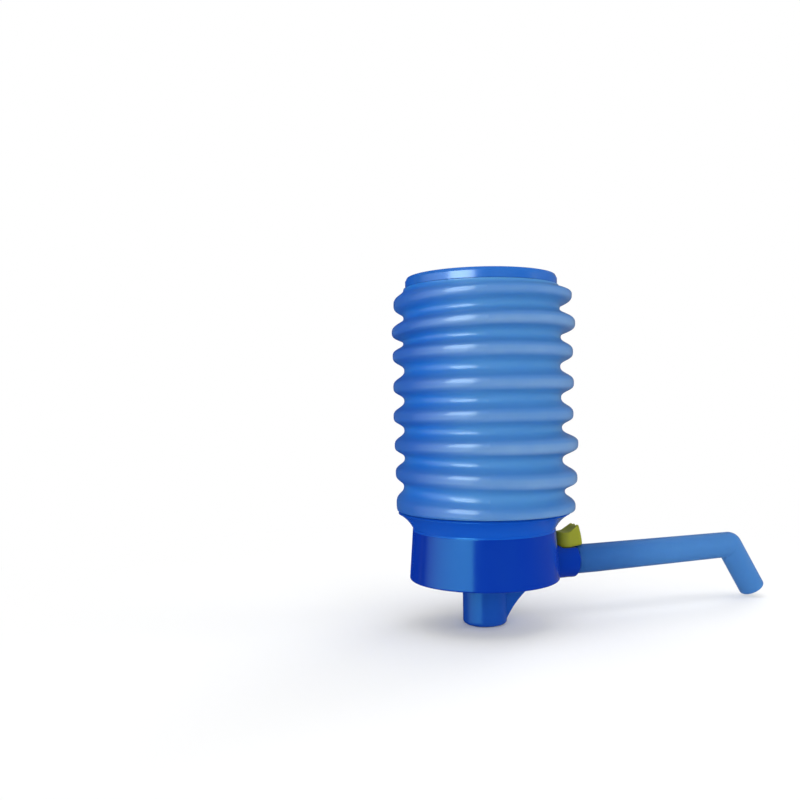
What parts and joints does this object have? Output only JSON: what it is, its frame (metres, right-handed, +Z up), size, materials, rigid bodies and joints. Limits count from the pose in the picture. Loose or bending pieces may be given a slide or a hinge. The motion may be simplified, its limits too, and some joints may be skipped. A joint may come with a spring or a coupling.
{
  "type": "water jug hand pump",
  "caption": "Bellows hand pump for a drinking-water jug: blue concertina bellows on a flared base, side spout with a bent end, yellow-green stopcock and a spigot for the intake tube.",
  "frame": {"origin": "centre of the neck collar's mouth, in the plane of the base skirt's lower edge, where the axis of the jug's neck meets it", "axes": "+Z up along the bellows, +X along the spout, +Y completes a right-handed frame"},
  "size_m": [0.216, 0.092, 0.1733],
  "materials": {
    "base_plastic": "glossy injection-moulded polypropylene, opaque deep blue",
    "collar_plastic": "glossy injection-moulded polypropylene, opaque blue",
    "insert_plastic": "injection-moulded polypropylene, blue",
    "grip_plastic": "natural low-density polyethylene",
    "cap_plastic": "glossy injection-moulded polyethylene, blue",
    "bellows_plastic": "blow-moulded low-density polyethylene, translucent blue",
    "spout_plastic": "injection-moulded polypropylene, translucent blue",
    "knob_plastic": "injection-moulded polypropylene, yellow-green",
    "plug_plastic": "acetal, natural white",
    "seal_rubber": "moulded rubber",
    "valve_silicone": "moulded silicone rubber",
    "clip_steel": "stamped stainless spring steel"
  },
  "bodies": {
    "base": {"base_skirt": "base_plastic", "neck_insert": "insert_plastic", "neck_gasket": "seal_rubber", "neck_grip_ring": "grip_plastic", "intake_bush": "seal_rubber", "duct_seal": "seal_rubber", "channel_gasket": "seal_rubber", "water_channel": "insert_plastic", "delivery_valve_cage": "insert_plastic", "spout_o_rings": "seal_rubber", "bellows_seal_ring": "seal_rubber", "bellows_collar": "collar_plastic", "bellows": "bellows_plastic"},
    "cap": {"press_cap": "cap_plastic", "cap_clamp_ring": "insert_plastic", "inlet_valve_cage": "insert_plastic"},
    "inlet_valve": {"inlet_valve_disc": "valve_silicone"},
    "delivery_valve": {"delivery_valve_disc": "valve_silicone"},
    "stopcock": {"stopcock_knob": "knob_plastic", "stopcock_plug": "plug_plastic", "plug_o_rings": "seal_rubber", "plug_clip": "clip_steel"},
    "spout": {"spout_tube": "spout_plastic", "spout_leg": "spout_plastic"}
  },
  "joints": [
    {"name": "pump_stroke", "type": "slide", "parent": "base", "child": "cap", "axis": [0, 0, -1], "range_m": [0, 0.065], "stiffness_N_per_m": 350, "springref_m": -0.004, "deforming": ["bellows"]},
    {"name": "inlet_valve_lift", "type": "slide", "parent": "cap", "child": "inlet_valve", "axis": [0, 0, 1], "range_m": [0, 0.00115]},
    {"name": "delivery_valve_lift", "type": "slide", "parent": "base", "child": "delivery_valve", "axis": [0, 0, 1], "range_m": [0, 0.00145]},
    {"name": "stopcock_turn", "type": "hinge", "parent": "base", "child": "stopcock", "pos_m": [0.0458, 0, 0.0126], "axis": [0, 0, 1], "range_deg": [0, 90]},
    {"name": "spout_swivel", "type": "hinge", "parent": "base", "child": "spout", "pos_m": [0.0588, 0, 0.0057], "axis": [1, 0, 0], "continuous": true}
  ]
}
